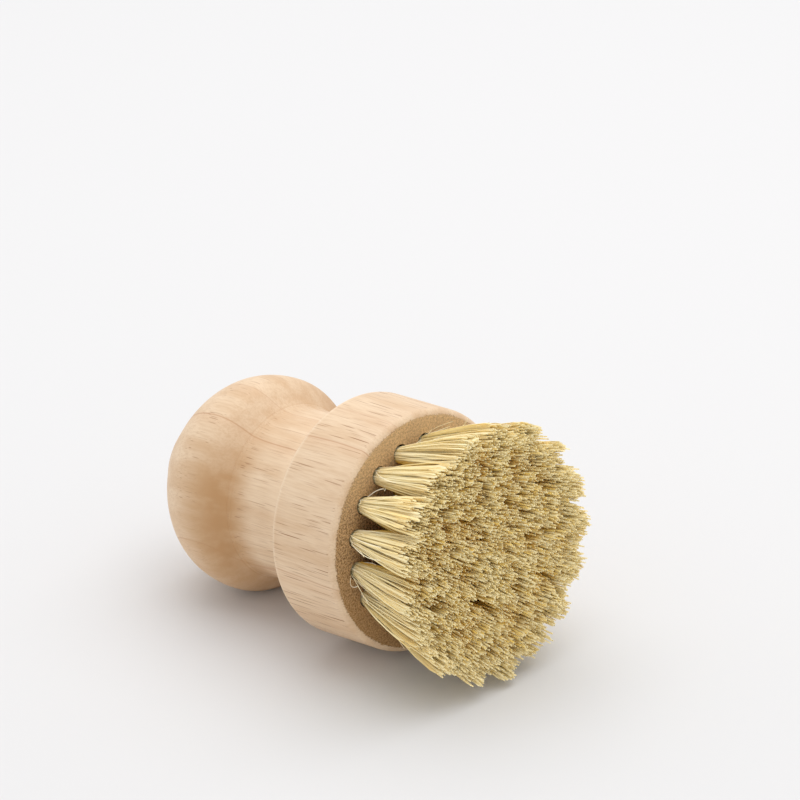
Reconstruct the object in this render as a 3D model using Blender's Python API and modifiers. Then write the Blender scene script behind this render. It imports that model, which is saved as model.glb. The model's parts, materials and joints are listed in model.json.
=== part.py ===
"""Round palm dish brush: a turned wooden handle with 35 tufts of plant fibre.

The handle is one piece of rubberwood: a knob for the palm, a neck for the fingers and a drum
that carries the bristles. Each tuft is a bundle of fibre doubled over a flat wire anchor and
driven into its own blind hole. The holes fan out from one point far behind the drum, so the
tufts spread towards their tips, which are trimmed flat.

The brush lies on its side, the way it is left to dry: the belly of the knob and the rear edge
of the drum touch the ground, and the bristles stand clear of it. Metres, +Z up, bristles
towards +X.
"""
import math

import bmesh
import bpy
from mathutils import Matrix, Vector

# Turned handle. Lengths along it are measured back from the bristle face of the drum
DRUM_RADIUS = 0.0275
DRUM_LENGTH = 0.0190
RIM_ROUND = 0.0018
REAR_EDGE_ROUND = 0.0009
NECK_RADIUS = 0.0193
NECK_AT = 0.0330
CREASE_RADIUS = 0.0199
CREASE_AT = 0.0407
KNOB_RADIUS = 0.0246
KNOB_AT = 0.0488
FOOT_RADIUS = 0.0115
FOOT_EDGE_ROUND = 0.0016
HANDLE_LENGTH = 0.0686

# Slopes of the turned profile, from the axis, where one curve hands over to the next
SHOULDER_SLOPE = math.radians(76)
CREASE_SLOPE = math.radians(28)
KNOB_REAR_SLOPE = math.radians(42)

# How far each curve of the profile follows its end directions, as shares of its chord
SHOULDER_PULL_SHARES = (0.58, 0.62)
NECK_PULL_SHARES = (0.20, 0.10)
KNOB_FRONT_PULL_SHARES = (0.25, 0.48)
KNOB_REAR_PULL_SHARES = (0.40, 0.42)

HANDLE_STEPS = 60
ROUND_STEPS = 3
SHOULDER_STEPS = 5
NECK_STEPS = 4
KNOB_FRONT_STEPS = 5
KNOB_REAR_STEPS = 7

# Tuft holes: one in the middle and three rings around it, the last set in from the drum's side
HOLE_RADIUS = 0.0020
HOLE_DEPTH = 0.0085
RING_INSET = 0.0074
RING_COUNTS = (6, 11, 17)
RING_TURNS = (math.radians(30), math.radians(15), math.radians(80))
RING_NAMES = ("inner", "middle", "outer")
FAN_DEPTH = 0.092
HOLE_SIDES = 8
DRILL_OVERRUN = 0.0020

# Tufts: bundles of locks of fibre on a packed root
FIT_CLEARANCE = 0.0003
TRIM_HEIGHT = 0.0234
TRIM_SCATTER = 0.0007
TUFT_TIP_GAP = 0.0003
PACKED_HEIGHT = 0.0028
PACKED_MARGIN = 0.0002
LOCK_SIDES = 3
LOCK_SINK = 0.0003
FOLD_LENGTH = 0.0014
FOLD_RADIUS = 0.0011

# Two rings of locks in each tuft: how many, how far out, where they start and how they face,
# with the radius and the reach of a lock as shares of the tuft's radius
LOCK_COUNTS = (3, 9)
LOCK_RADIUS_SHARE = 0.285
LOCK_REACH_SHARES = (0.35, 0.77)
LOCK_TURNS = (math.radians(20), 0)
LOCK_FACINGS = (math.radians(30), math.radians(90))

# Flat wire anchor that holds the fold of a tuft at the bottom of its hole
ANCHOR_WIDTH = 0.0032
ANCHOR_HEIGHT = 0.0016
ANCHOR_THICKNESS = 0.0005
ANCHOR_DROP = 0.0004

GOLDEN_ANGLE = math.pi * (3 - math.sqrt(5))
GOLDEN_SHARE = (math.sqrt(5) - 1) / 2
SMOOTH_ANGLE = math.radians(35)
MERGE_DISTANCE = 0.000001


def clear_scene():
    for old in list(bpy.data.objects):
        bpy.data.objects.remove(old, do_unlink=True)


def collection(name):
    group = bpy.data.collections.new(name)
    bpy.context.scene.collection.children.link(group)
    return group


def material(name, colour, roughness):
    mat = bpy.data.materials.new(name)
    mat.use_nodes = True
    shader = mat.node_tree.nodes["Principled BSDF"]
    shader.inputs["Base Color"].default_value = (*colour, 1)
    shader.inputs["Roughness"].default_value = roughness
    shader.inputs["Metallic"].default_value = 0
    mat.diffuse_color = (*colour, 1)
    return mat


def curve(start, start_slope, end, end_slope, pull_shares, steps):
    """Points after the start of a smooth curve between two points of a turned profile.

    A point is (radius, distance back), and a slope is the angle from the axis at which the
    curve runs on, positive where the radius grows.
    """
    start, end = Vector(start), Vector(end)
    chord = (end - start).length
    leave = Vector((math.sin(start_slope), math.cos(start_slope))) * chord * pull_shares[0]
    arrive = Vector((math.sin(end_slope), math.cos(end_slope))) * chord * pull_shares[1]
    controls = (start, start + leave, end - arrive, end)
    points = []
    for step in range(1, steps + 1):
        t = step / steps
        weights = ((1 - t) ** 3, 3 * t * (1 - t) ** 2, 3 * t * t * (1 - t), t ** 3)
        point = sum((w * c for w, c in zip(weights, controls)), Vector((0, 0)))
        points.append(tuple(point))
    return points


def rounding(centre, radius, start_angle, end_angle, steps):
    """Points of a rounded edge; the angle is 0 facing forward and 90 degrees facing out."""
    points = []
    for step in range(steps + 1):
        angle = start_angle + (end_angle - start_angle) * step / steps
        points.append((centre[0] + radius * math.sin(angle), centre[1] - radius * math.cos(angle)))
    return points


def handle_profile():
    """The outline of the handle as (radius, distance back), from the bristle face to the foot."""
    quarter = math.pi / 2
    rim = rounding((DRUM_RADIUS - RIM_ROUND, RIM_ROUND), RIM_ROUND, 0, quarter, ROUND_STEPS)
    rear_edge = rounding(
        (DRUM_RADIUS - REAR_EDGE_ROUND, DRUM_LENGTH - REAR_EDGE_ROUND),
        REAR_EDGE_ROUND, quarter, quarter + SHOULDER_SLOPE, ROUND_STEPS)
    foot_edge = rounding(
        (FOOT_RADIUS, HANDLE_LENGTH - FOOT_EDGE_ROUND),
        FOOT_EDGE_ROUND, quarter + KNOB_REAR_SLOPE, math.pi, ROUND_STEPS)
    neck = (NECK_RADIUS, NECK_AT)
    crease = (CREASE_RADIUS, CREASE_AT)
    knob = (KNOB_RADIUS, KNOB_AT)
    outline = [(0, 0)] + rim + rear_edge
    outline += curve(rear_edge[-1], -SHOULDER_SLOPE, neck, 0, SHOULDER_PULL_SHARES, SHOULDER_STEPS)
    outline += curve(neck, 0, crease, CREASE_SLOPE, NECK_PULL_SHARES, NECK_STEPS)
    outline += curve(crease, CREASE_SLOPE, knob, 0, KNOB_FRONT_PULL_SHARES, KNOB_FRONT_STEPS)
    outline += curve(knob, 0, foot_edge[0], -KNOB_REAR_SLOPE, KNOB_REAR_PULL_SHARES, KNOB_REAR_STEPS)
    outline += foot_edge[1:] + [(0, HANDLE_LENGTH)]
    return outline


def resting_tilt(outline):
    """The angle at which a straight edge laid along the outline touches drum and knob."""
    drum = [point for point in outline if point[1] <= DRUM_LENGTH]
    knob = [point for point in outline if point[1] > CREASE_AT]
    return math.atan(min(max((d[0] - k[0]) / (k[1] - d[1]) for d in drum) for k in knob))


def ring_pitch():
    return (DRUM_RADIUS - RING_INSET) / len(RING_COUNTS)


def tuft_places():
    """Name, mouth centre and outward direction of every tuft, in the handle's own frame."""
    places = [("tuft_center", Vector((0, 0, 0)))]
    for ring, (count, turn, name) in enumerate(zip(RING_COUNTS, RING_TURNS, RING_NAMES), 1):
        for number in range(count):
            angle = turn + 2 * math.pi * number / count
            mouth = Vector((math.cos(angle), math.sin(angle), 0)) * ring * ring_pitch()
            places.append((f"tuft_{name}_{number + 1:02d}", mouth))
    fan_point = Vector((0, 0, -FAN_DEPTH))
    return [(name, mouth, (mouth - fan_point).normalized()) for name, mouth in places]


def tuft_frame(mouth, direction):
    """Places a shape that stands on its own +Z at a tuft's mouth, along the tuft."""
    turn = Vector((0, 0, 1)).rotation_difference(direction)
    return Matrix.Translation(mouth) @ turn.to_matrix().to_4x4()


def turned(name, outline, steps, group, mat):
    """A closed solid turned about Z from (radius, height) points that run down its outside."""
    mesh = bpy.data.meshes.new(name)
    points = [(radius, 0, height) for radius, height in outline]
    mesh.from_pydata(points, [(i, i + 1) for i in range(len(points) - 1)], [])
    mesh.materials.append(mat)
    obj = bpy.data.objects.new(name, mesh)
    group.objects.link(obj)
    screw = obj.modifiers.new("Turn", "SCREW")
    screw.axis = "Z"
    screw.steps = screw.render_steps = steps
    screw.use_merge_vertices = True
    screw.merge_threshold = MERGE_DISTANCE
    return obj


def tool_object(name, mesh_builder, group):
    """A hidden shape that cuts or joins another."""
    mesh = bpy.data.meshes.new(name)
    shape = bmesh.new()
    mesh_builder(shape)
    shape.to_mesh(mesh)
    shape.free()
    obj = bpy.data.objects.new(name, mesh)
    obj.hide_render = True
    obj.display_type = "WIRE"
    group.objects.link(obj)
    return obj


def combine(obj, tool, operation):
    step = obj.modifiers.new(operation.title(), "BOOLEAN")
    step.operation = operation
    step.solver = "EXACT"
    step.object = tool


def settle(obj):
    """Turns the modifiers into mesh, shaded smooth up to its sharp edges."""
    depsgraph = bpy.context.evaluated_depsgraph_get()
    obj.data = bpy.data.meshes.new_from_object(obj.evaluated_get(depsgraph))
    obj.modifiers.clear()
    obj.data.name = obj.name
    obj.data.shade_smooth()
    obj.data.set_sharp_from_angle(angle=SMOOTH_ANGLE)


def drill_holes(shape):
    """One drill for each tuft, from the bottom of its hole to just above the face."""
    length = HOLE_DEPTH + DRILL_OVERRUN
    middle = Matrix.Translation((0, 0, (DRILL_OVERRUN - HOLE_DEPTH) / 2))
    for _, mouth, direction in tuft_places():
        bmesh.ops.create_cone(
            shape, cap_ends=True, segments=HOLE_SIDES, radius1=HOLE_RADIUS,
            radius2=HOLE_RADIUS, depth=length, matrix=tuft_frame(mouth, direction) @ middle)


def make_handle(outline, group, tools, mat):
    """The turned handle, with a flat of its facets underneath and the tuft holes drilled."""
    outline = [(radius, -back) for radius, back in outline]
    handle = turned("turned_handle", outline, HANDLE_STEPS, group, mat)
    handle.rotation_euler.z = math.pi / HANDLE_STEPS
    combine(handle, tool_object("tuft_drills", drill_holes, tools), "DIFFERENCE")
    settle(handle)
    return handle


def tip_radius():
    """A tuft's reach at the trimmed tips, where it all but meets the next ring's tufts."""
    return (ring_pitch() * (FAN_DEPTH + TRIM_HEIGHT) / FAN_DEPTH - TUFT_TIP_GAP) / 2


def bundle_slope():
    """How fast a tuft widens along its length, from its mouth to the trimmed tips."""
    return (tip_radius() - root_radius()) / TRIM_HEIGHT


def root_radius():
    return HOLE_RADIUS - FIT_CLEARANCE


def root_outline():
    """The packed root of a tuft: folded over its anchor, straight in the hole, then widening."""
    fold_end = FIT_CLEARANCE + ANCHOR_DROP - HOLE_DEPTH
    packed_radius = root_radius() + PACKED_HEIGHT * bundle_slope() + PACKED_MARGIN
    return [
        (0, PACKED_HEIGHT), (packed_radius, PACKED_HEIGHT), (root_radius(), 0),
        (root_radius(), fold_end + FOLD_LENGTH), (FOLD_RADIUS, fold_end), (0, fold_end)]


def add_lock(shape, frame, angle, reach_share, facing, trim):
    """A lock of fibre, a slim three-sided spike whose edges all run from the tuft's apex.

    Because every edge of every lock starts from the same point, no two locks can cross. The
    tip is cut parallel to the bristle face, at the trim height above it.
    """
    apex_depth = root_radius() / bundle_slope()
    lock_slope = LOCK_RADIUS_SHARE * bundle_slope()
    centre_slope = Vector((math.cos(angle), math.sin(angle))) * reach_share * bundle_slope()
    made = bmesh.ops.create_cone(
        shape, cap_ends=True, segments=LOCK_SIDES, radius1=1, radius2=1, depth=2,
        matrix=Matrix.Rotation(angle + facing, 4, "Z"))
    up = frame.to_3x3().transposed() @ Vector((0, 0, 1))
    for vert in made["verts"]:
        at_tip = vert.co.z > 0
        slope = centre_slope + vert.co.xy * lock_slope
        height = PACKED_HEIGHT - LOCK_SINK
        if at_tip:
            sideways = up.xy.dot(slope)
            height = (trim - apex_depth * sideways) / (sideways + up.z)
        vert.co = (*(slope * (height + apex_depth)), height)


def add_locks(shape, frame, turn):
    """The rings of locks of one tuft, each lock cut at its own height."""
    number = 0
    for count, reach_share, start, facing in zip(
            LOCK_COUNTS, LOCK_REACH_SHARES, LOCK_TURNS, LOCK_FACINGS):
        for step in range(count):
            angle = turn + start + 2 * math.pi * step / count
            scatter_share = (number * GOLDEN_SHARE + turn) % 1 - 1 / 2
            trim = TRIM_HEIGHT + TRIM_SCATTER * scatter_share
            add_lock(shape, frame, angle, reach_share, facing, trim)
            number += 1


def add_anchor(shape):
    """The flat wire across the fold, on edge, its ends proud of the fold."""
    bottom = FIT_CLEARANCE - HOLE_DEPTH
    size = Matrix.Diagonal((ANCHOR_WIDTH, ANCHOR_THICKNESS, ANCHOR_HEIGHT, 1))
    place = Matrix.Translation((0, 0, bottom + ANCHOR_HEIGHT / 2))
    bmesh.ops.create_cube(shape, size=1, matrix=place @ size)


def make_tuft(name, mouth, direction, turn, group, tools, mat):
    """A packed root, its anchor and its locks of fibre, joined into one solid."""
    frame = tuft_frame(mouth, direction)

    def fill(shape):
        add_locks(shape, frame, turn)
        add_anchor(shape)

    tuft = turned(name, root_outline(), HOLE_SIDES, group, mat)
    locks = tool_object(f"{name}_locks", fill, tools)
    tuft.matrix_world = frame
    locks.matrix_world = frame
    combine(tuft, locks, "UNION")
    settle(tuft)
    return tuft


def lay_down(objects, tilt, group):
    """Parents the brush to an empty that lays it at rest over the origin."""
    rest = bpy.data.objects.new("resting_pose", None)
    group.objects.link(rest)
    for obj in objects:
        obj.parent = rest
    along = Vector((math.cos(tilt), 0, math.sin(tilt)))
    across = Vector((0, 1, 0))
    turn = Matrix((across, along.cross(across), along)).transposed().to_4x4()
    points = [turn @ obj.matrix_world @ v.co for obj in objects for v in obj.data.vertices]
    lows, highs = ([pick(axis) for axis in zip(*points)] for pick in (min, max))
    under = Vector(((lows[0] + highs[0]) / 2, (lows[1] + highs[1]) / 2, lows[2]))
    rest.matrix_world = Matrix.Translation(-under) @ turn


def build():
    clear_scene()
    brush = collection("dish_brush")
    tools = collection("cutters")
    rubberwood = material("rubberwood", (0.76, 0.55, 0.36), 0.55)
    fibre = material("plant_fibre", (0.74, 0.61, 0.31), 0.7)
    outline = handle_profile()
    parts = [make_handle(outline, brush, tools, rubberwood)]
    for number, (name, mouth, direction) in enumerate(tuft_places()):
        parts.append(make_tuft(
            name, mouth, direction, number * GOLDEN_ANGLE, brush, tools, fibre))
    bpy.context.view_layer.update()
    lay_down(parts, resting_tilt(outline), brush)


build()
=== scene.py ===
"""The look of a round palm dish brush that lies on its side.

The turned handle gets a finer surface, real tuft holes and rubberwood with its pores, growth
lines and end grain. Every tuft becomes a bundle of single fibres in its own hole. Metres, +Z up,
bristles towards +X. In the brush's own frame the bristles point up +Z and their face is at zero.
"""

import json
import math

import bmesh
import bpy
import numpy as np
from mathutils import Matrix, Vector

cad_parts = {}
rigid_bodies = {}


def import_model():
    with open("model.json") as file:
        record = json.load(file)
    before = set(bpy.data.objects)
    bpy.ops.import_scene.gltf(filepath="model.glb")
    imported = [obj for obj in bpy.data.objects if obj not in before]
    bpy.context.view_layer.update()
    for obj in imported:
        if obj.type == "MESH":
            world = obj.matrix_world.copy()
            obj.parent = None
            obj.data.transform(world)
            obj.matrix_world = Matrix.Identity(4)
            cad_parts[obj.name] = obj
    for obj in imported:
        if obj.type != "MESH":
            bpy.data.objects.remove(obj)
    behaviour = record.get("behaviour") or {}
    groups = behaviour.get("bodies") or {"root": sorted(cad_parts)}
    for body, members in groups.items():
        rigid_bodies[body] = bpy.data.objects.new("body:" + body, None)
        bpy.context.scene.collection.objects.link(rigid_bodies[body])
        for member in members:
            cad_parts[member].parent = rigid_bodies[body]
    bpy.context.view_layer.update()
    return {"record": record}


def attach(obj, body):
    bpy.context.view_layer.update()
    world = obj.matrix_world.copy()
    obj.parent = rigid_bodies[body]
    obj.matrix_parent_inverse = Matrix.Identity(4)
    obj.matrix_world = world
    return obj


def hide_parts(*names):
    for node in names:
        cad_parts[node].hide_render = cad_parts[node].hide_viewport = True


# Handle, measured back from the bristle face
DRUM_RADIUS = 0.0275
DRUM_LENGTH = 0.0190
RIM_ROUND = 0.0018
REAR_EDGE_ROUND = 0.0009
NECK_RADIUS = 0.0193
NECK_AT = 0.0330
CREASE_RADIUS = 0.0199
CREASE_AT = 0.0407
KNOB_RADIUS = 0.0246
KNOB_AT = 0.0488
FOOT_RADIUS = 0.0115
FOOT_EDGE_ROUND = 0.0016
HANDLE_LENGTH = 0.0686
SHOULDER_SLOPE = math.radians(76)
CREASE_SLOPE = math.radians(28)
KNOB_REAR_SLOPE = math.radians(42)

# How far each curve of the profile keeps to its end directions, as shares of its chord
SHOULDER_PULLS = (0.58, 0.62)
NECK_PULLS = (0.22, 0.20)
KNOB_FRONT_PULLS = (0.30, 0.46)
KNOB_REAR_PULLS = (0.40, 0.42)

# Steps along the profile, and round the axis
RIM_STEPS = 12
REAR_EDGE_STEPS = 8
SHOULDER_STEPS = 26
NECK_STEPS = 18
KNOB_FRONT_STEPS = 22
KNOB_REAR_STEPS = 30
FOOT_EDGE_STEPS = 6
TURNED_STEPS = 192
SMOOTH_ANGLE = math.radians(40)

# The solid handle has flats, and the smooth one keeps to their middles so that it lies as low
SOLID_FLATS = 60
FACET_SHARE = math.cos(math.pi / SOLID_FLATS)

# Fine turning lines: where, and how deep, and how many points lie on either side of one
GROOVES = ((0.0401, 0.00006), (0.0409, 0.00009), (0.0346, 0.00002))
GROOVE_WIDTH = 0.00016
GROOVE_POINTS = 10
POINTS_TO_WIDTH = 4
LEAST_STEP = 0.00001

# Tuft holes
HOLE_RADIUS = 0.0020
HOLE_DEPTH = 0.0085
HOLE_FLARE = 0.00016
FLARE_DEPTH = 0.0004
FLARE_RISE = 0.00003
DRILL_OVERRUN = 0.0010
HOLE_SIDES = 20
RING_INSET = 0.0074
RING_COUNTS = (6, 11, 17)
RING_TURNS = (math.radians(30), math.radians(15), math.radians(80))
RING_NAMES = ("inner", "middle", "outer")
FAN_DEPTH = 0.092

# Fibres: how many, how thick, and where along them their points lie
FIBRES_PER_TUFT = 320
FIBRE_SIDES = 3
FIBRE_RADII = (0.000130, 0.000225)
ROOT_WIDTH_SHARE = 0.74
TIP_WIDTH_SHARE = 1.06
RING_SHARES = np.array((0.0, 0.12, 0.32, 0.68, 0.92, 1.0))
FIRST_SEED = 1000
GOLDEN_ANGLE = math.pi * (3 - math.sqrt(5))

# The tuft in the middle has no outward direction, and its length of 0 must not divide anything
LEAST_LENGTH = 1e-9

# Roots, packed in the hole and pushed to its inner side
ROOT_RADIUS = 0.00184
ROOT_SINK = 0.0016
ROOT_SCATTER = 0.00004
BUNDLE_SCATTER = 0.00005
ROOT_PUSH = (0.00016, 0.00052)

# Tips, in clumps on a lobed disc
TIP_RADIUS = 0.00492
TIP_SCATTER = 0.00040
DISC_SHARES = (0.97, 1.04)
DISC_SCATTER = 0.00022
LOBE_SHARES = (0.09, 0.07)
LOBE_TURN = 6
ANGLE_SCATTER = 0.12
REACH_SHARES = (0.92, 1.06)
CLUMPS_PER_TUFT = 20
CLUMP_PULL = 0.20
STRAY_SHARE = 0.015
STRAY_REACH = (1.05, 1.22)

# Where the tips are cut, above the bristle face
TRIM_HEIGHT = 0.0234
TRIM_DROP = 0.0005
TRIM_SCATTER = 0.00060
TUFT_TRIM_SCATTER = 0.00012
CLUMP_TRIM_SCATTER = 0.00095
TRIM_BELOW = 0.0036
TRIM_ABOVE = 0.0012
SHORT_SHARE = 0.06
SHORT_BY = (0.0004, 0.0034)

# How a fibre runs from root to tip, and which way its flat looks
SPREAD_POWERS = (1.05, 1.50)
BOW = 0.00016
WAVE = 0.00006
FACING_LEAN = 1.3
FACING_SCATTER = math.radians(18)
ACROSS_TUBES = np.array((0.3, 0.95, 0.0))

# Stray hairs at the roots
HAIRS_PER_TUFT = 7
HAIR_RADII = (0.00006, 0.00013)
HAIR_ANGLE_SCATTER = 1.3
HAIR_TURN_SCATTER = 0.5
HAIR_REACH = (0.0024, 0.0056)
HAIR_HEIGHT = (0.0030, 0.0200)
HAIR_BEND_POWERS = (0.5, 1.8)
HAIR_SWAY = 0.0005
HAIR_SHADES = (0.9, 1.0)

# The outline of the whole head
REACH_SOFT = 0.0280
REACH_LIMIT = 0.0296
HEAD_SQUASH = 0.035

# Fibre tints, and which of the fibres are golden or brown
CREAM = np.array((0.99, 0.91, 0.62))
STRAW = np.array((0.98, 0.84, 0.45))
GOLD = np.array((0.97, 0.73, 0.21))
BROWN = np.array((0.62, 0.39, 0.12))
# Painted shade in the depths of the head, a deep gold for light filtered through the fibres
PAINTED_DEPTH_SHADE = np.array((1.00, 0.66, 0.085))
CUT_END = np.array((0.99, 0.90, 0.57))
# Painted light on the fibres at the edge of the head
PAINTED_EDGE_LIGHT = np.array((1.00, 0.885, 0.56))
HAIR = np.array((0.98, 0.95, 0.84))
GOLDEN_FROM = 0.76
BROWN_FROM = 0.975
GOLDEN_POWER = 0.7
DULL_SHARE = 0.10
CUT_END_SHARE = 0.75
CUT_END_SHADES = (0.94, 1.0)

# Painted light makes the edge of the head pale. Elsewhere painted shade in deep gold sets in with
# the depth below the trimmed height
EDGE_OF_HEAD = (0.0225, 0.0270)
DEPTH_SHADE_SETS_IN = (0.0003, 0.0042)
EDGE_DEPTH_SHADE_FADES = (0.0042, 0.0110)
DEPTH_SHADE_SHARE = 0.95
EDGE_DEPTH_SHADE_SHARE = 0.55
DEPTH_SHADE_BY_TINT = 0.8
EDGE_LIGHT_SHARE = 0.60
EDGE_LIGHT_UNDER_SHADE = 0.5


def clear_scene():
    for old in list(bpy.data.objects):
        bpy.data.objects.remove(old, do_unlink=True)


def resting_place(frame):
    """From the brush's own frame, bristles up +Z, to where the frame's stand face says."""
    foot = frame["record"]["mounts"][0]
    along = -Vector(foot["axis"]).normalized()
    across = Vector((0, 1, 0))
    turn = Matrix((across, along.cross(across), along)).transposed().to_4x4()
    return Matrix.Translation(Vector(foot["pos_m"]) + along * HANDLE_LENGTH) @ turn


def new_object(name, data):
    obj = bpy.data.objects.new(name, data)
    bpy.context.scene.collection.objects.link(obj)
    return obj


# Handle
def bezier(start, start_slope, end, end_slope, pulls, steps):
    """Points after the start of a smooth curve between two (radius, distance back) points."""
    start, end = Vector(start), Vector(end)
    chord = (end - start).length
    leave = Vector((math.sin(start_slope), math.cos(start_slope))) * chord * pulls[0]
    arrive = Vector((math.sin(end_slope), math.cos(end_slope))) * chord * pulls[1]
    controls = (start, start + leave, end - arrive, end)
    points = []
    for step in range(1, steps + 1):
        t = step / steps
        weights = ((1 - t) ** 3, 3 * t * (1 - t) ** 2, 3 * t * t * (1 - t), t ** 3)
        points.append(tuple(sum((w * c for w, c in zip(weights, controls)), Vector((0, 0)))))
    return points


def rounding(centre, radius, start_angle, end_angle, steps):
    """Points of a rounded edge, as (radius, distance back). Angle 0 looks towards the face."""
    angles = [start_angle + (end_angle - start_angle) * i / steps for i in range(steps + 1)]
    return [(centre[0] + radius * math.sin(a), centre[1] - radius * math.cos(a)) for a in angles]


def grooved(points):
    """Adds the fine turning lines to a stretch of (radius, distance back) points."""
    points = np.array(points)
    back = list(points[:, 1])
    for at, _ in GROOVES:
        steps = range(-GROOVE_POINTS, GROOVE_POINTS + 1)
        back += [at + GROOVE_WIDTH * step / POINTS_TO_WIDTH for step in steps]
    back = np.array(sorted(b for b in back if points[0, 1] <= b <= points[-1, 1]))
    back = back[np.concatenate(([True], np.diff(back) > LEAST_STEP))]
    radius = np.interp(back, points[:, 1], points[:, 0])
    for at, depth in GROOVES:
        radius -= depth * np.exp(-((back - at) / GROOVE_WIDTH) ** 2)
    return list(zip(radius, back))


def handle_profile():
    """The outline of the handle as (radius, distance back), from the bristle face to the foot."""
    quarter = math.pi / 2
    rim = rounding((DRUM_RADIUS - RIM_ROUND, RIM_ROUND), RIM_ROUND, 0, quarter, RIM_STEPS)
    rear = rounding((DRUM_RADIUS - REAR_EDGE_ROUND, DRUM_LENGTH - REAR_EDGE_ROUND),
                    REAR_EDGE_ROUND, quarter, quarter + SHOULDER_SLOPE, REAR_EDGE_STEPS)
    foot = rounding((FOOT_RADIUS, HANDLE_LENGTH - FOOT_EDGE_ROUND),
                    FOOT_EDGE_ROUND, quarter + KNOB_REAR_SLOPE, math.pi, FOOT_EDGE_STEPS)
    neck = (NECK_RADIUS, NECK_AT)
    crease = (CREASE_RADIUS, CREASE_AT)
    knob = (KNOB_RADIUS, KNOB_AT)
    waist = [rear[-1]]
    waist += bezier(rear[-1], -SHOULDER_SLOPE, neck, 0, SHOULDER_PULLS, SHOULDER_STEPS)
    waist += bezier(neck, 0, crease, CREASE_SLOPE, NECK_PULLS, NECK_STEPS)
    waist += bezier(crease, CREASE_SLOPE, knob, 0, KNOB_FRONT_PULLS, KNOB_FRONT_STEPS)
    outline = [(0, 0)] + rim + rear[:-1] + grooved(waist)
    outline += bezier(knob, 0, foot[0], -KNOB_REAR_SLOPE, KNOB_REAR_PULLS, KNOB_REAR_STEPS)
    return outline + foot[1:] + [(0, HANDLE_LENGTH)]


def tuft_places():
    """Name, mouth centre and outward direction of every tuft, in the brush's own frame."""
    places = [("center", Vector((0, 0, 0)))]
    pitch = (DRUM_RADIUS - RING_INSET) / len(RING_COUNTS)
    for ring, (count, turn, name) in enumerate(zip(RING_COUNTS, RING_TURNS, RING_NAMES), 1):
        for number in range(count):
            angle = turn + 2 * math.pi * number / count
            mouth = Vector((math.cos(angle), math.sin(angle), 0)) * ring * pitch
            places.append((f"{name}_{number + 1:02d}", mouth))
    fan_point = Vector((0, 0, -FAN_DEPTH))
    return [(name, mouth, (mouth - fan_point).normalized()) for name, mouth in places]


def tuft_frame(mouth, direction):
    """From a frame whose +Z runs out of a hole to the brush's own frame."""
    turn = Vector((0, 0, 1)).rotation_difference(direction)
    return Matrix.Translation(mouth) @ turn.to_matrix().to_4x4()


def turned_mesh(name, outline, steps):
    """A closed surface turned about Z from (radius, height) points that run down its outside."""
    shape = bmesh.new()
    rings = []
    for radius, height in outline:
        if radius == 0:
            rings.append([shape.verts.new((0, 0, height))])
        else:
            angles = [2 * math.pi * k / steps for k in range(steps)]
            rings.append([shape.verts.new((radius * math.cos(a), radius * math.sin(a), height))
                          for a in angles])
    for above, below in zip(rings, rings[1:]):
        for k in range(steps):
            corners = [above[k % len(above)], below[k % len(below)],
                       below[(k + 1) % len(below)], above[(k + 1) % len(above)]]
            shape.faces.new(list(dict.fromkeys(corners)))
    mesh = bpy.data.meshes.new(name)
    shape.to_mesh(mesh)
    shape.free()
    return mesh


def drill_mesh(hole_shade):
    """All tuft holes in one cutter, each with a small worn flare at its mouth."""
    outline = [(0, DRILL_OVERRUN), (HOLE_RADIUS + HOLE_FLARE * 2, DRILL_OVERRUN),
               (HOLE_RADIUS + HOLE_FLARE, FLARE_RISE), (HOLE_RADIUS, -FLARE_DEPTH),
               (HOLE_RADIUS, -HOLE_DEPTH), (0, -HOLE_DEPTH)]
    joined = bmesh.new()
    single = turned_mesh("drill", outline, HOLE_SIDES)
    for _, mouth, direction in tuft_places():
        copy = single.copy()
        copy.transform(tuft_frame(mouth, direction))
        joined.from_mesh(copy)
    mesh = bpy.data.meshes.new("drills")
    joined.to_mesh(mesh)
    joined.free()
    mesh.materials.append(hole_shade)
    return mesh


def make_handle(place, wood, hole_shade):
    """The turned handle with every tuft hole cut into it."""
    outline = [(radius * FACET_SHARE, -back) for radius, back in handle_profile()]
    mesh = turned_mesh("wooden_handle", outline, TURNED_STEPS)
    mesh.materials.append(wood)
    mesh.materials.append(hole_shade)
    handle = new_object("wooden_handle", mesh)
    drills = new_object("drills", drill_mesh(hole_shade))
    cut = handle.modifiers.new("Holes", "BOOLEAN")
    cut.operation = "DIFFERENCE"
    cut.solver = "EXACT"
    cut.material_mode = "TRANSFER"
    cut.object = drills
    depsgraph = bpy.context.evaluated_depsgraph_get()
    handle.data = bpy.data.meshes.new_from_object(handle.evaluated_get(depsgraph))
    handle.modifiers.clear()
    handle.data.name = "wooden_handle"
    bpy.data.objects.remove(drills, do_unlink=True)
    handle.data.transform(place)
    handle.data.shade_smooth()
    handle.data.set_sharp_from_angle(angle=SMOOTH_ANGLE)
    return handle


# Fibres
def polar(angle, radius):
    return np.stack([np.cos(angle), np.sin(angle)], 1) * radius[:, None]


def blend(low, high, share):
    return low + (high - low) * share


def smoothstep(value, low, high):
    t = np.clip((value - low) / (high - low), 0, 1)
    return t * t * (3 - 2 * t)


def arch(shares):
    """Rises from 0 at the root to 1 halfway along, and falls to 0 at the tip."""
    return 4 * shares * (1 - shares)


def fibre_tints(rng, count):
    """One tint for each fibre: cream and straw, a good share golden, a few brown."""
    pick = rng.random(count)[:, None]
    tint = blend(STRAW, CREAM, rng.random((count, 1)))
    golden = blend(STRAW, GOLD, rng.random((count, 1)) ** GOLDEN_POWER)
    tint = np.where(pick > GOLDEN_FROM, golden, tint)
    tint = np.where(pick > BROWN_FROM, blend(BROWN, GOLD, rng.random((count, 1))), tint)
    return tint * (1 - DULL_SHARE * rng.random((count, 1)) ** 2)


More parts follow.
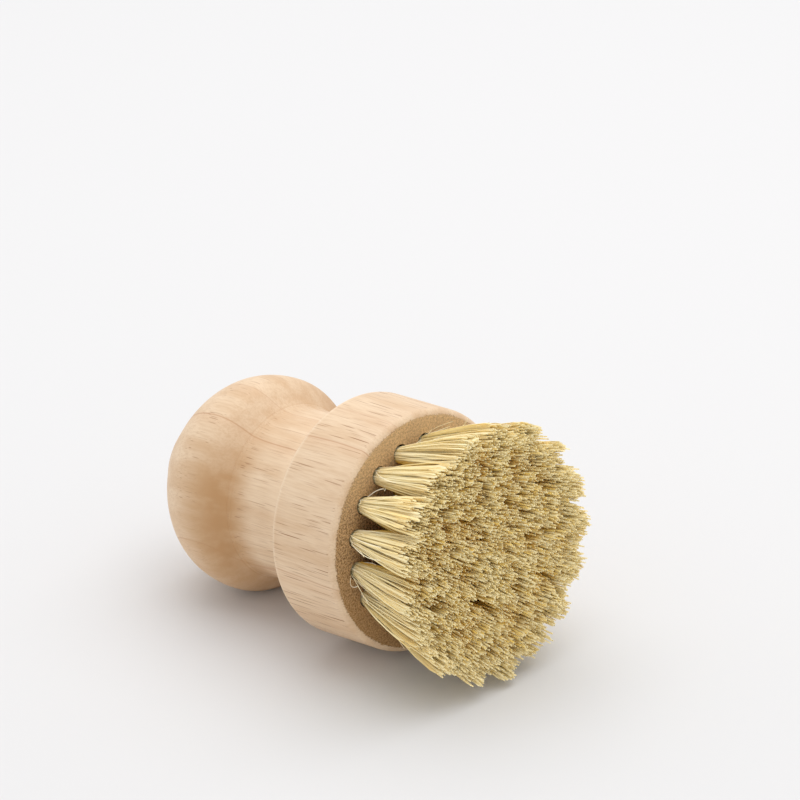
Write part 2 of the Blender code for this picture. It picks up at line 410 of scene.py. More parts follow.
def tube_points(paths, radii, facings):
    """Corners of every ring of every tube. One flat of a tube looks the way its facing points."""
    tangents = np.gradient(paths, axis=1)
    tangents /= np.linalg.norm(tangents, axis=2, keepdims=True)
    side = np.cross(tangents, ACROSS_TUBES)
    side /= np.linalg.norm(side, axis=2, keepdims=True)
    other = np.cross(tangents, side)
    along_side = (side * facings[:, None]).sum(axis=2)
    along_other = (other * facings[:, None]).sum(axis=2)
    towards = np.arctan2(along_other, along_side)
    roll = towards[..., None] + math.pi * (2 * np.arange(FIBRE_SIDES) - 1) / FIBRE_SIDES
    cos, sin = np.cos(roll)[..., None], np.sin(roll)[..., None]
    offset = cos * side[:, :, None] + sin * other[:, :, None]
    return paths[:, :, None] + radii[:, :, None, None] * offset


def tube_faces(count, rings):
    """The sides, the cut ends and the root ends of all tubes, as numbers of their corners."""
    sides = FIBRE_SIDES
    first = (np.arange(count) * rings * sides)[:, None, None]
    ring = (np.arange(rings - 1) * sides)[None, :, None]
    this = np.arange(sides)[None, None]
    following = (this + 1) % sides
    quads = np.stack([first + ring + this, first + ring + following,
                      first + ring + sides + following, first + ring + sides + this], axis=-1)
    corner = np.arange(sides)
    tips = (first[:, :, 0] + (rings - 1) * sides + corner).tolist()
    roots = (first[:, :, 0] + corner[::-1]).tolist()
    return quads.reshape(-1, 4).tolist(), tips, roots


def tube_mesh(name, paths, radii, tints, ends, facings):
    """Slim tubes along paths (fibre, ring, xyz), with a radius and a tint at every ring."""
    count, rings, _ = paths.shape
    points = tube_points(paths, radii, facings)
    quads, tips, roots = tube_faces(count, rings)
    mesh = bpy.data.meshes.new(name)
    mesh.from_pydata(points.reshape(-1, 3).tolist(), [], quads + tips + roots)
    mesh.update()

    at_points = np.repeat(tints.reshape(-1, 3), FIBRE_SIDES, axis=0)
    corner_points = np.zeros(len(mesh.loops), np.int32)
    mesh.loops.foreach_get("vertex_index", corner_points)
    values = np.ones((len(mesh.loops), 4), np.float32)
    values[:, :3] = at_points[corner_points]
    tip_corners = len(quads) * 4 + np.arange(count * FIBRE_SIDES)
    values[tip_corners, :3] = np.repeat(ends, FIBRE_SIDES, axis=0)
    mesh.color_attributes.new("fibre_tint", "FLOAT_COLOR", "CORNER")
    mesh.color_attributes["fibre_tint"].data.foreach_set("color", values.ravel())
    mesh.shade_flat()
    return mesh


def tuft_tips(rng, angle, reach):
    """Where the fibres of a tuft end, square to its axis, and the clump of each of them."""
    count = FIBRES_PER_TUFT
    lobes = 1 + LOBE_SHARES[0] * np.cos(2 * angle + rng.uniform(0, LOBE_TURN))
    lobes += LOBE_SHARES[1] * np.cos(3 * angle + rng.uniform(0, LOBE_TURN))
    unit = polar(angle + rng.normal(0, ANGLE_SCATTER, count),
                 reach * lobes * rng.uniform(*REACH_SHARES, count))
    middles = polar(rng.uniform(0, 2 * math.pi, CLUMPS_PER_TUFT),
                    np.sqrt(rng.random(CLUMPS_PER_TUFT)))
    nearest = np.linalg.norm(unit[:, None] - middles[None], axis=2).argmin(axis=1)
    unit = blend(unit, middles[nearest], rng.uniform(0.0, CLUMP_PULL, (count, 1)))
    tip = unit * TIP_RADIUS * rng.uniform(*DISC_SHARES)
    tip += rng.normal(0, DISC_SCATTER, 2) + rng.normal(0, TIP_SCATTER, (count, 2))
    stray = rng.random(count) > 1 - STRAY_SHARE
    tip[stray] *= rng.uniform(*STRAY_REACH, (stray.sum(), 1))
    return tip, nearest


def trimmed_heights(rng, nearest):
    """How high above the bristle face each fibre of a tuft is cut."""
    count = FIBRES_PER_TUFT
    trim = TRIM_HEIGHT - TRIM_DROP + rng.normal(0, TUFT_TRIM_SCATTER)
    trim = trim + rng.normal(0, TRIM_SCATTER, count)
    trim += rng.normal(0, CLUMP_TRIM_SCATTER, CLUMPS_PER_TUFT)[nearest]
    trim = np.clip(trim, TRIM_HEIGHT - TRIM_BELOW, TRIM_HEIGHT + TRIM_ABOVE)
    short = rng.random(count) > 1 - SHORT_SHARE
    trim[short] -= rng.uniform(*SHORT_BY, short.sum())
    return trim


def tuft_fibres(rng, number, turn, outward):
    """Paths, radii, tints and facings of the fibres of one tuft, in the frame of its hole."""
    count = FIBRES_PER_TUFT
    axis = turn.T @ np.array((0, 0, 1.0))
    index = np.arange(count)
    reach = np.sqrt((index + 0.5) / count)
    angle = index * GOLDEN_ANGLE + number

    # Roots are packed and lean on the inner side of the hole
    root = polar(angle, reach * ROOT_RADIUS) + rng.normal(0, ROOT_SCATTER, (count, 2))
    root += rng.normal(0, BUNDLE_SCATTER, 2) - outward * rng.uniform(*ROOT_PUSH)

    # Tips fan out in small clumps and run in among those of the next tufts
    tip, nearest = tuft_tips(rng, angle, reach)
    height = (trimmed_heights(rng, nearest) - tip @ axis[:2]) / axis[2]

    # Each fibre leaves the hole and runs out nearly straight
    shares = RING_SHARES[None]
    spread = 1 - (1 - shares) ** rng.uniform(*SPREAD_POWERS, (count, 1))
    bow = rng.normal(0, BOW, (count, 1, 2)) * arch(shares)[..., None]
    wave = rng.normal(0, WAVE, (count, len(RING_SHARES), 2)) * np.sqrt(shares)[..., None]
    flat = root[:, None] + (tip - root)[:, None] * spread[..., None] + bow + wave
    above = np.concatenate([flat, (height[:, None] * shares)[..., None]], axis=2)
    below = np.concatenate([root, np.full((count, 1), -ROOT_SINK)], axis=1)[:, None]
    paths = np.concatenate([below, above], axis=1)
    widen = blend(ROOT_WIDTH_SHARE, TIP_WIDTH_SHARE, np.concatenate(([0.0], RING_SHARES)))
    radii = rng.uniform(*FIBRE_RADII, (count, 1)) * widen[None]

    # Flats look out of the tuft and out of the head, so that both are lit like solid bundles
    lean = tip / np.linalg.norm(tip, axis=1, keepdims=True) + FACING_LEAN * outward
    facing = np.arctan2(lean[:, 1], lean[:, 0]) + rng.normal(0, FACING_SCATTER, count)
    return paths, radii, fibre_tints(rng, count), polar(facing, np.ones(count))


def root_hairs(rng, outward):
    """Thin pale hairs that stand off the root of a tuft."""
    count = HAIRS_PER_TUFT
    angle = math.atan2(outward[1], outward[0]) + rng.normal(0, HAIR_ANGLE_SCATTER, count)
    start = polar(angle, np.full(count, ROOT_RADIUS))
    reach = rng.uniform(*HAIR_REACH, count)
    end = polar(angle + rng.normal(0, HAIR_TURN_SCATTER, count), reach)
    height = rng.uniform(*HAIR_HEIGHT, count)
    shares = np.linspace(0, 1, len(RING_SHARES) + 1)[None]
    bend = rng.uniform(*HAIR_BEND_POWERS, (count, 1))
    flat = start[:, None] + (end - start)[:, None] * (shares ** bend)[..., None]
    sway = rng.normal(0, HAIR_SWAY, (count, 1, 2)) * arch(shares)[..., None]
    rise = (height[:, None] * shares)[..., None]
    paths = np.concatenate([flat + sway, rise], axis=2)
    radii = rng.uniform(*HAIR_RADII, (count, 1)) * np.ones_like(shares)
    tints = HAIR * rng.uniform(*HAIR_SHADES, (count, 1))
    return paths, radii, tints, polar(angle, np.ones(count))


def draw_in(paths):
    """Draws the widest tips in to the edge of the head."""
    far = np.hypot(paths[:, -1, 0], paths[:, -1, 1])
    room = REACH_LIMIT - REACH_SOFT
    held = REACH_SOFT + room * np.tanh(np.maximum(far - REACH_SOFT, 0) / room)
    drawn = 1 - np.minimum(held / far, 1)
    shares = np.linspace(0, 1, paths.shape[1]) ** 2
    paths[:, :, :2] *= 1 - (drawn[:, None] * shares[None])[..., None]


def tones_along(paths, tints):
    """The tint at every ring: painted shade in deep gold within the head, painted light at its
    edge.
    """
    tips = paths[:, -1]
    outer = smoothstep(np.hypot(tips[:, 0], tips[:, 1]), *EDGE_OF_HEAD)[:, None]
    below = TRIM_HEIGHT - paths[:, :, 2]
    depth = smoothstep(below, *DEPTH_SHADE_SETS_IN)
    near_tip = 1 - smoothstep(below, *EDGE_DEPTH_SHADE_FADES)
    depth_shade = DEPTH_SHADE_SHARE * depth * (1 - outer) + EDGE_DEPTH_SHADE_SHARE * depth * near_tip * outer

    # The last paths are the hairs, which take no painted shade
    depth_shade[-HAIRS_PER_TUFT:] = 0
    depth_shade_tone = PAINTED_DEPTH_SHADE * blend(DEPTH_SHADE_BY_TINT, 1, tints[:, None])
    tones = blend(tints[:, None], depth_shade_tone, depth_shade[..., None])
    # Painted light at the edge of the head, less where painted shade lies
    pale = EDGE_LIGHT_SHARE * outer[..., None] * (1 - EDGE_LIGHT_UNDER_SHADE * depth_shade[..., None])
    return blend(tones, PAINTED_EDGE_LIGHT, pale)


def make_tuft(number, name, mouth, direction, place, fibre):
    """The bundle of single fibres in one hole, with its stray hairs."""
    rng = np.random.default_rng(FIRST_SEED + number)
    turn = np.array(tuft_frame(mouth, direction).to_3x3())
    outward = (turn.T @ np.array(mouth))[:2]
    outward /= max(np.linalg.norm(outward), LEAST_LENGTH)
    fibres = tuft_fibres(rng, number, turn, outward)
    hairs = root_hairs(rng, outward)
    paths, radii, tints, facings = (np.concatenate(pair) for pair in zip(fibres, hairs))
    paths = paths @ turn.T + np.array(mouth)
    facings = facings @ turn[:, :2].T
    draw_in(paths)
    tones = tones_along(paths, tints)
    ends = blend(tints, CUT_END, CUT_END_SHARE) * rng.uniform(*CUT_END_SHADES, (len(tints), 1))

    # The head is a little narrower from side to side than it is tall
    paths[:, :, 0] *= 1 - HEAD_SQUASH * np.maximum(paths[:, :, 2], 0) / TRIM_HEIGHT

    mesh = tube_mesh(name, paths, radii, tones, ends, facings)
    mesh.transform(place)
    mesh.materials.append(fibre)
    return new_object(name, mesh)


# Materials
def rgb(red, green, blue):
    return (red, green, blue, 1.0)


WOOD = rgb(0.78, 0.60, 0.42)
WOOD_BAND = rgb(0.69, 0.49, 0.315)
WOOD_FINE_LINE = rgb(0.57, 0.38, 0.23)
WOOD_FLECK = rgb(0.81, 0.64, 0.47)
# Darker grain and painted shade at the crease and on the knob's front slope
WOOD_CREASE_GRAIN_AND_SHADE = rgb(0.50, 0.29, 0.135)
WOOD_FACING_BACK = rgb(0.60, 0.39, 0.21)
# Painted light on the neck where it rises into the drum
WOOD_SHOULDER_LIGHT = rgb(0.88, 0.70, 0.51)
# Painted highlight along the rear edge of the drum
WOOD_EDGE_HIGHLIGHT = rgb(0.93, 0.77, 0.58)
WOOD_PORE = rgb(0.26, 0.100, 0.036)
GROWTH_SHADE = rgb(0.68, 0.42, 0.26)
GROWTH_LINE = rgb(0.46, 0.24, 0.13)
END_DARK = rgb(0.20, 0.110, 0.045)
END_LIGHT = rgb(0.59, 0.375, 0.190)
END_GRIT = rgb(0.80, 0.57, 0.32)
# Painted light on the top of the end grain, and painted shade on its lower part
END_TOP_LIGHT = rgb(0.84, 0.60, 0.34)
END_LOW_SHADE = rgb(0.34, 0.18, 0.065)
END_BORDER = rgb(0.27, 0.15, 0.07)
# Painted shade: the tuft hole walls are near black for the shadow in the holes
HOLE_SHADE_DARK = rgb(0.020, 0.011, 0.006)
HOLE_SHADE_PALE = rgb(0.12, 0.070, 0.035)
FIBRE_MOTTLE = rgb(0.84, 0.62, 0.26)
FIBRE_SHEEN = rgb(1.0, 0.84, 0.48)

# Noise: scale, detail and roughness. The scale is to the millimetre in the wood, else to the metre
GRIT_NOISE = (2.1, 3.0, 0.7)
FINE_GRIT_NOISE = (5.0, 2.0, 0.6)
RAGGED_NOISE = (1.5, 3.0, 0.7)
HOLE_NOISE = (2500.0, 3.0, 0.7)
FIBRE_NOISE = (900.0, 2.0, 0.6)

# Noise drawn out along the grain: its scale along each axis, then detail and roughness
WANDER_NOISE = ((0.05, 0.05, 0.03), 1.0, 0.5)
BAND_NOISE = ((0.22, 0.22, 0.012), 2.0, 0.55)
FINE_NOISE = ((2.6, 2.6, 0.10), 3.0, 0.6)
FLECK_NOISE = ((0.35, 0.35, 0.16), 3.0, 0.6)
DRIFT_NOISE = ((0.17, 0.17, 0.025), 2.0, 0.6)
NOISE_MIDDLE = (0.5, 0.5, 0.5)
GRAIN_WANDER = (4.0, 4.0, 0.0)
PORE_WANDER = (0.40, 0.40, 0.40)

# Each range below says from where to where something changes, and its values at both ends where
# they aren't 0 and 1. These run over a noise
BANDS = (0.36, 0.66)
FINE_LINES = (0.34, 0.70, 0.0, 0.44)
FLECKS = (0.40, 0.75, 0.0, 0.25)
CREASE_SHADE_BY_BAND = (0.30, 0.62, 0.86, 1.12)
PORES_BY_DRIFT = (0.36, 0.58, 0.30, 1.0)
GRIT = (0.40, 0.60)
FINE_GRIT = (0.52, 0.68, 0.0, 0.75)
BORDER_BY_GRIT = (0.50, 0.62, 0.0, 0.75)
HOLE_GRAIN = (0.35, 0.65)
FIBRE_MOTTLES = (0.40, 0.75, 0.0, 0.14)
FIBRE_ROUGHNESS = (0.3, 0.7, 0.62, 0.80)

# These run back from the bristle face, in millimetres
# Where the painted shade at the crease starts and ends
CREASE_SHADE_STARTS = (33.0, 41.5)
CREASE_SHADE_ENDS = (42.0, 55.0, 1.0, 0.0)
# Where the painted light on the neck starts and ends
SHOULDER_LIGHT_STARTS = (18.4, 19.2)
SHOULDER_LIGHT_ENDS = (23.0, 31.0, 0.60, 0.0)
# Where the painted highlight on the drum's rear edge lies, and how strong it is
EDGE_HIGHLIGHT_STARTS = (17.6, 18.4)
EDGE_HIGHLIGHT_ENDS = (19.0, 21.0, 1.0, 0.0)
EDGE_HIGHLIGHT_SHARE = 0.32
PORES_THIN_OUT = (18.0, 30.0, 1.0, 0.62)
SAWN_FACE = (8.0, 14.0, 1.0, 0.22)
SAWN_FOOT = (58.0, 66.0, 0.22, 1.0)

# These run up from the axis, in millimetres
# The painted shade at the crease fades towards the lit top and is weaker at the bottom
CREASE_SHADE_UPPER = (7.0, 22.0, 0.90, 0.22)
CREASE_SHADE_LOWER = (-20.0, -6.0, 0.55, 1.0)
# Painted light on the top of the end grain, and painted shade below
END_TOP_LIGHT_RANGE = (6.0, 24.0, 0.0, 0.40)
END_LOW_SHADE_RANGE = (8.0, -14.0, 0.0, 0.45)

# These run with how far the surface faces along the axis: 1 is towards the bristles, -1 back
FACING_BACK = (-0.3, -0.9, 0.0, 0.22)
BORDER_FACES = (0.78, 0.88)

# The same for surfaces that face either way along the axis
OPEN_GRAIN = (0.10, 0.42, 1.0, 0.0)
END_FACES = (0.80, 0.90)

# The ragged border of the end grain runs round the axis, in millimetres
BORDER_RADIUS = 26.2
BORDER_LINE = (0.0, 0.35, 1.0, 0.0)
END_GRAIN_ENDS = (26.10, 26.35, 1.0, 0.0)
BORDER_RAGGED = 1.3

# Growth lines are planes along the axis: the direction square to them, how far off the axis in
# millimetres, how wide and how strong
GROWTH_LINES = (
    ((0.894, 0.447, 0.0), -1.9, 0.26, 0.62),
    ((0.854, 0.520, 0.0), 9.8, 0.22, 0.30),
    ((0.568, 0.823, 0.0), -18.6, 0.24, 0.42),
)

# The shade beside each line: how wide, how strong against the line, and its sharp edge
GROWTH_SHADE_WIDTH = 3.5
GROWTH_SHADE_SHARE = 0.30
GROWTH_SHADE_EDGE = (0.0, 0.3, 1.0, 0.0)

# Pores: how many to the millimetre across, how drawn out, how wide, what share and how dark
PORES = (
    (2.2, 0.024, 0.270, 0.72, 0.88),
    (3.2, 0.018, 0.260, 0.74, 0.66),
    (1.5, 0.018, 0.185, 0.70, 0.95),
)

# How much of a pore's width is fully dark, and how softly single pores are left out
PORE_CORE = 0.5
PORE_CHOICE = 0.15

# Relief: what sinks or raises the surface, then how strongly it shows and its height in metres
PORE_RELIEF = -0.6
FINE_RELIEF = 0.25
FINE_GRIT_RELIEF = 0.6
END_RELIEF = 1.6
RELIEF_STRENGTH = 0.55
RELIEF_DISTANCE = 0.00008

# Roughness of the wood, and what fine lines and end grain add to it
WOOD_ROUGHNESS = 0.46
FINE_ROUGHNESS = 0.12
END_ROUGHNESS = 0.3


class Nodes:
    """A short way to write a material's nodes."""

    def __init__(self, name):
        self.material = bpy.data.materials.new(name)
        self.material.use_nodes = True
        self.tree = self.material.node_tree
        self.shader = self.tree.nodes["Principled BSDF"]

    def put(self, socket, value):
        if isinstance(value, bpy.types.NodeSocket):
            self.tree.links.new(value, socket)
        elif value is not None:
            socket.default_value = value

    def fill(self, node, inputs):
        for key, value in inputs.items():
            self.put(node.inputs[key.replace("_", " ")], value)

    def shade(self, **inputs):
        """Fills the shader's own inputs and returns the material."""
        self.fill(self.shader, inputs)
        return self.material

    def add(self, kind, settings=None, **inputs):
        made = self.tree.nodes.new(kind)
        for key, value in (settings or {}).items():
            setattr(made, key, value)
        self.fill(made, inputs)
        return made

    def math(self, operation, a, b=None, c=None):
        made = self.tree.nodes.new("ShaderNodeMath")
        made.operation = operation
        for socket, value in zip(made.inputs, (a, b, c)):
            self.put(socket, value)
        return made.outputs[0]

    def product(self, *values):
        result = values[0]
        for value in values[1:]:
            result = self.math("MULTIPLY", result, value)
        return result

    def vector(self, operation, a, b=None):
        made = self.tree.nodes.new("ShaderNodeVectorMath")
        made.operation = operation
        for socket, value in zip(made.inputs, (a, b)):
            self.put(socket, value)
        return made.outputs["Value" if operation in ("DOT_PRODUCT", "LENGTH") else "Vector"]

    def stretch(self, vector, by):
        return self.vector("MULTIPLY", vector, by)

    def part(self, vector, axis):
        return self.add("ShaderNodeSeparateXYZ", Vector=vector).outputs[axis]

    def smooth(self, value, low, high, to_low=0.0, to_high=1.0):
        made = self.tree.nodes.new("ShaderNodeMapRange")
        made.interpolation_type = "SMOOTHSTEP"
        for socket, given in zip(made.inputs, (value, low, high, to_low, to_high)):
            self.put(socket, given)
        return made.outputs["Result"]

    def mix(self, factor, a, b):
        made = self.tree.nodes.new("ShaderNodeMix")
        made.data_type = "RGBA"
        for socket, given in zip((made.inputs[0], made.inputs[6], made.inputs[7]), (factor, a, b)):
            self.put(socket, given)
        return made.outputs[2]

    def noise(self, vector, scale, detail, roughness, output="Fac"):
        made = self.add("ShaderNodeTexNoise", Vector=vector, Scale=scale, Detail=detail,
                        Roughness=roughness)
        return made.outputs[output]

    def drawn_noise(self, vector, by, detail, roughness, output="Fac"):
        return self.noise(self.stretch(vector, by), 1.0, detail, roughness, output)

    def cells(self, vector):
        made = self.add("ShaderNodeTexVoronoi", Vector=vector, Scale=1.0, Randomness=1.0)
        return made.outputs["Distance"], made.outputs["Color"]


def own_frame(n, place):
    """Position in millimetres and normal, both in the brush's own frame, bristles up +Z."""
    coordinates = n.add("ShaderNodeTexCoord")
    made = []
    sources = (("Object", place.to_translation(), 0.001), ("Normal", (0, 0, 0), 1))
    for source, start, unit in sources:
        turned = n.add("ShaderNodeMapping", {"vector_type": "TEXTURE"},
                       Vector=coordinates.outputs[source], Location=start, Scale=(unit,) * 3)
        turned.inputs["Rotation"].default_value = place.to_euler()
        made.append(turned.outputs["Vector"])
    return made


def growth_lines(n, grain, colour):
    """Thin reddish lines, each with a wider shade on one side of it."""
    for square, distance, width, strength in GROWTH_LINES:
        off = n.math("SUBTRACT", n.vector("DOT_PRODUCT", grain, square), distance)
        thin = n.smooth(n.math("ABSOLUTE", off), 0.0, width, strength, 0.0)
        wide = n.smooth(off, -GROWTH_SHADE_WIDTH, 0.0, 0.0, strength * GROWTH_SHADE_SHARE)
        wide = n.product(wide, n.smooth(off, *GROWTH_SHADE_EDGE))
        colour = n.mix(wide, colour, GROWTH_SHADE)
        colour = n.mix(thin, colour, GROWTH_LINE)
    return colour


def pores(n, grain):
    """Dark streaks along the grain, thicker in some drifts than in others."""
    drift = n.smooth(n.drawn_noise(grain, *DRIFT_NOISE), *PORES_BY_DRIFT)
    dark = None
    for scale, drawn, size, share, strength in PORES:
        # Each row is shifted by its own scale, so that its cells don't line up with the others
        spot = n.stretch(grain, (scale, scale, scale * drawn))
        spot = n.vector("ADD", spot, (scale * 7, 3.1, scale))
        distance, kind = n.cells(spot)
        kept = n.add("ShaderNodeSeparateColor", Color=kind).outputs[0]
        kept = n.smooth(kept, 1 - share, 1 - share + PORE_CHOICE)
        streak = n.product(n.smooth(distance, size * PORE_CORE, size, strength, 0.0), kept, drift)
        dark = streak if dark is None else n.math("MAXIMUM", dark, streak)
    return dark


def long_grain(n, mm, grain, fine, facing, back, upper):
    """The wood along its grain, with darker grain and painted shade at the crease and on the
    knob's front slope, and painted light where the neck rises into the drum.
    """
    bands = n.drawn_noise(grain, *BAND_NOISE)
    flecks = n.drawn_noise(mm, *FLECK_NOISE)
    colour = n.mix(n.smooth(bands, *BANDS), WOOD, WOOD_BAND)
    colour = n.mix(n.smooth(fine, *FINE_LINES), colour, WOOD_FINE_LINE)
    colour = n.mix(n.smooth(flecks, *FLECKS), colour, WOOD_FLECK)
    colour = growth_lines(n, grain, colour)
    # Painted shade, with some darker grain, at the crease and on the knob's front slope
    crease_grain_and_shade = n.product(n.smooth(back, *CREASE_SHADE_STARTS), n.smooth(back, *CREASE_SHADE_ENDS),
                       n.smooth(upper, *CREASE_SHADE_UPPER), n.smooth(upper, *CREASE_SHADE_LOWER),
                       n.smooth(bands, *CREASE_SHADE_BY_BAND))
    colour = n.mix(crease_grain_and_shade, colour, WOOD_CREASE_GRAIN_AND_SHADE)
    colour = n.mix(n.smooth(facing, *FACING_BACK), colour, WOOD_FACING_BACK)
    # Painted light on the neck where it rises into the drum
    neck_rise_light = n.product(n.smooth(back, *SHOULDER_LIGHT_STARTS), n.smooth(back, *SHOULDER_LIGHT_ENDS))
    return n.mix(neck_rise_light, colour, WOOD_SHOULDER_LIGHT)


def end_grain(n, grit, fine_grit, upper):
    """The granular colour of sawn wood, with painted light towards the top and painted shade
    below.
    """
    colour = n.mix(n.smooth(grit, *GRIT), END_DARK, END_LIGHT)
    colour = n.mix(n.smooth(fine_grit, *FINE_GRIT), colour, END_GRIT)
    colour = n.mix(n.smooth(upper, *END_TOP_LIGHT_RANGE), colour, END_TOP_LIGHT)
    return n.mix(n.smooth(upper, *END_LOW_SHADE_RANGE), colour, END_LOW_SHADE)


def ragged_distance(n, mm):
    """The distance from the axis in millimetres, made ragged."""
    distance = n.vector("LENGTH", n.stretch(mm, (1.0, 1.0, 0.0)))
    ragged = n.noise(mm, *RAGGED_NOISE)
    ragged = n.math("MULTIPLY_ADD", ragged, BORDER_RAGGED, -BORDER_RAGGED / 2)
    return n.math("ADD", distance, ragged)


def wood_material(place):
    """Rubberwood: long grain with short dark pores, and darker, granular end grain."""
    n = Nodes("rubberwood")
    mm, normal = own_frame(n, place)
    facing = n.part(normal, "Z")
    steep = n.math("ABSOLUTE", facing)
    back = n.math("MULTIPLY", n.part(mm, "Z"), -1.0)
    upper = n.part(mm, "Y")

    # The grain wanders a little as it runs along the axis
    wander = n.drawn_noise(mm, *WANDER_NOISE, output="Color")
    wander = n.stretch(n.vector("SUBTRACT", wander, NOISE_MIDDLE), GRAIN_WANDER)
    grain = n.vector("ADD", mm, wander)
    fine = n.drawn_noise(grain, *FINE_NOISE)
    colour = long_grain(n, mm, grain, fine, facing, back, upper)

    # Pores show along the grain and hardly where the surface cuts across it
    open_grain = n.product(n.smooth(steep, *OPEN_GRAIN), n.smooth(back, *PORES_THIN_OUT))
    vessels = n.vector("ADD", mm, n.stretch(wander, PORE_WANDER))
    dark = n.math("MULTIPLY", pores(n, vessels), open_grain)
    colour = n.mix(dark, colour, WOOD_PORE)

    # A painted highlight runs along the rear edge of the drum
    edge_highlight = n.product(n.smooth(back, *EDGE_HIGHLIGHT_STARTS), n.smooth(back, *EDGE_HIGHLIGHT_ENDS), EDGE_HIGHLIGHT_SHARE)
    colour = n.mix(edge_highlight, colour, WOOD_EDGE_HIGHLIGHT)

    # End grain on the bristle face and under the foot, up to a ragged border
    grit = n.noise(mm, *GRIT_NOISE)
    fine_grit = n.noise(mm, *FINE_GRIT_NOISE)
    across = ragged_distance(n, mm)
    sawn = n.math("MAXIMUM", n.smooth(back, *SAWN_FACE), n.smooth(back, *SAWN_FOOT))
    flat = n.product(n.smooth(steep, *END_FACES), n.smooth(across, *END_GRAIN_ENDS), sawn)
    colour = n.mix(flat, colour, end_grain(n, grit, fine_grit, upper))
    off_border = n.math("ABSOLUTE", n.math("SUBTRACT", across, BORDER_RADIUS))
    border = n.product(n.smooth(off_border, *BORDER_LINE), n.smooth(facing, *BORDER_FACES),
                       n.smooth(grit, *BORDER_BY_GRIT))
    colour = n.mix(border, colour, END_BORDER)

    # Pores are sunk, and the end grain is rough
    height = n.math("MULTIPLY_ADD", dark, PORE_RELIEF, n.math("MULTIPLY", fine, FINE_RELIEF))
    rough_end = n.product(n.math("MULTIPLY_ADD", fine_grit, FINE_GRIT_RELIEF, grit), flat)
    height = n.math("MULTIPLY_ADD", rough_end, END_RELIEF, height)
    bump = n.add("ShaderNodeBump", Strength=RELIEF_STRENGTH, Distance=RELIEF_DISTANCE,
                 Height=height)
    rough = n.math("MULTIPLY_ADD", fine, FINE_ROUGHNESS, WOOD_ROUGHNESS)
    rough = n.math("MULTIPLY_ADD", flat, END_ROUGHNESS, rough)
    return n.shade(Base_Color=colour, Roughness=rough, Specular_IOR_Level=0.32,
                   Normal=bump.outputs["Normal"])


def hole_shade_material():
    """Dark wall of a tuft hole, painted near black as shade in the hole."""
    n = Nodes("tuft_hole_painted_shade")
    place = n.add("ShaderNodeTexCoord")
    grain = n.noise(place.outputs["Object"], *HOLE_NOISE)
    colour = n.mix(n.smooth(grain, *HOLE_GRAIN), HOLE_SHADE_DARK, HOLE_SHADE_PALE)
    return n.shade(Base_Color=colour, Roughness=0.9, Specular_IOR_Level=0.1)


def fibre_material():
    """Dry plant fibre: each strand has its own tint and is faintly mottled."""
    n = Nodes("plant_fibre")
    tint = n.add("ShaderNodeVertexColor", {"layer_name": "fibre_tint"}).outputs["Color"]
    place = n.add("ShaderNodeTexCoord")
    mottle = n.noise(place.outputs["Object"], *FIBRE_NOISE)
    colour = n.mix(n.smooth(mottle, *FIBRE_MOTTLES), tint, FIBRE_MOTTLE)
    return n.shade(Base_Color=colour, Roughness=n.smooth(mottle, *FIBRE_ROUGHNESS),
                   Specular_IOR_Level=0.25, Sheen_Weight=0.90, Sheen_Roughness=0.5,
                   Sheen_Tint=FIBRE_SHEEN)


# Floor, light and camera
CAMERA_FROM_FACE = Vector((0.844994, -0.843267, 0.605523))
CAMERA_AZIMUTH = math.radians(45.25)
CAMERA_PITCH = math.radians(25.66)
CAMERA_ROLL = math.radians(-1.38)
CAMERA_LENS = 274.6
CAMERA_CLIP = (0.05, 20)
SENSOR_WIDTH = 36
FLOOR_HALF = 3.0
FLOOR_SQUARES = 8
FLOOR_COLOUR = rgb(0.80, 0.785, 0.77)
FLOOR_SEEN = rgb(0.710, 0.710, 0.722)
WORLD_COLOUR = rgb(1.0, 1.0, 1.0)
WORLD_STRENGTH = 0.81
TOP_LIGHT_AT = (-0.07, 0.21, 0.90)
TOP_LIGHT_SIZE = 1.25
TOP_LIGHT_WATTS = 6.8
TOP_LIGHT_COLOUR = (1.0, 0.985, 0.96)


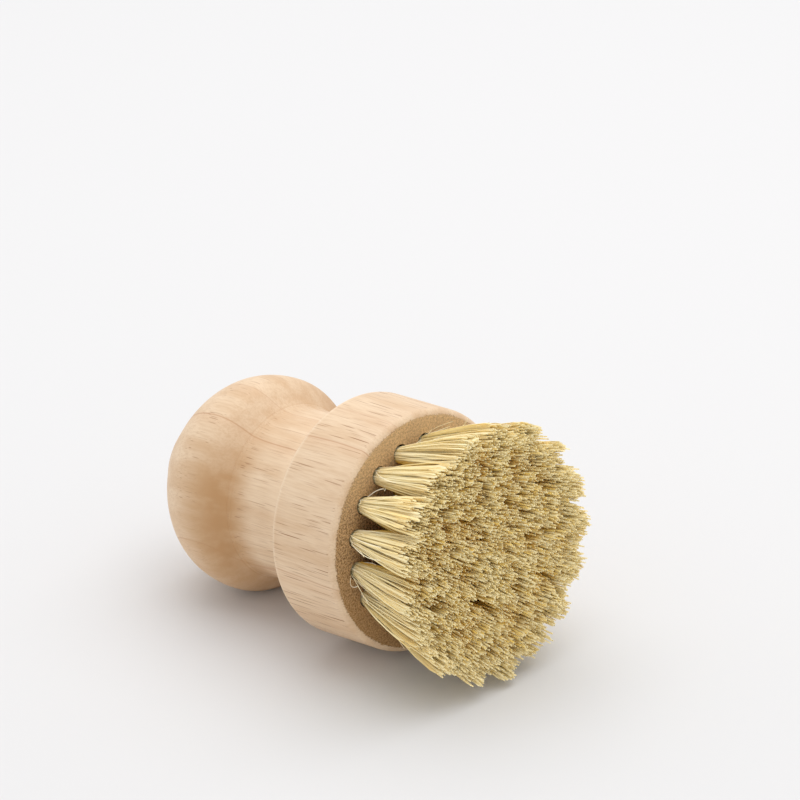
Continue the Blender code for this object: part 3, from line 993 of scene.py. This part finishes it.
def make_camera(place):
    data = bpy.data.cameras.new("camera")
    data.sensor_width = SENSOR_WIDTH
    data.lens = CAMERA_LENS
    data.clip_start, data.clip_end = CAMERA_CLIP
    camera = new_object("camera", data)
    spin = Matrix.Rotation(CAMERA_AZIMUTH, 3, "Z")
    right = spin @ Vector((1, 0, 0))
    up = spin @ Vector((0, math.sin(CAMERA_PITCH), math.cos(CAMERA_PITCH)))
    x_axis = math.cos(CAMERA_ROLL) * right + math.sin(CAMERA_ROLL) * up
    y_axis = -math.sin(CAMERA_ROLL) * right + math.cos(CAMERA_ROLL) * up
    turn = Matrix((x_axis, y_axis, x_axis.cross(y_axis))).transposed().to_4x4()
    camera.matrix_world = Matrix.Translation(place.to_translation() + CAMERA_FROM_FACE) @ turn
    bpy.context.scene.camera = camera


def make_floor():
    """A wide floor that takes shadows and looks pale to the camera."""
    shape = bmesh.new()
    bmesh.ops.create_grid(
        shape, x_segments=FLOOR_SQUARES, y_segments=FLOOR_SQUARES, size=FLOOR_HALF)
    mesh = bpy.data.meshes.new("floor")
    shape.to_mesh(mesh)
    shape.free()
    n = Nodes("floor")
    seen = n.add("ShaderNodeLightPath").outputs["Is Camera Ray"]
    colour = n.mix(seen, FLOOR_COLOUR, FLOOR_SEEN)
    mesh.materials.append(n.shade(Base_Color=colour, Roughness=0.7, Specular_IOR_Level=0.1))
    new_object("floor", mesh)


def make_light():
    """An even white studio with one large soft light above and behind the brush."""
    world = bpy.data.worlds.new("studio")
    world.use_nodes = True
    background = world.node_tree.nodes["Background"]
    background.inputs["Color"].default_value = WORLD_COLOUR
    background.inputs["Strength"].default_value = WORLD_STRENGTH
    bpy.context.scene.world = world
    data = bpy.data.lights.new("top_light", "AREA")
    data.size = TOP_LIGHT_SIZE
    data.energy = TOP_LIGHT_WATTS
    data.color = TOP_LIGHT_COLOUR
    light = new_object("top_light", data)
    light.location = TOP_LIGHT_AT
    light.rotation_mode = "QUATERNION"
    light.rotation_quaternion = (-Vector(TOP_LIGHT_AT)).to_track_quat("-Z", "Y")


def main():
    clear_scene()
    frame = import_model()
    place = resting_place(frame)
    handle = make_handle(place, wood_material(place), hole_shade_material())
    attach(handle, "root")
    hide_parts("turned_handle")
    fibre = fibre_material()
    for number, (name, mouth, direction) in enumerate(tuft_places()):
        tuft = make_tuft(number, f"fibres_{name}", mouth, direction, place, fibre)
        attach(tuft, "root")
        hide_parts(f"tuft_{name}")
    make_floor()
    make_light()
    make_camera(place)
    bpy.context.scene.view_settings.view_transform = "Standard"


main()
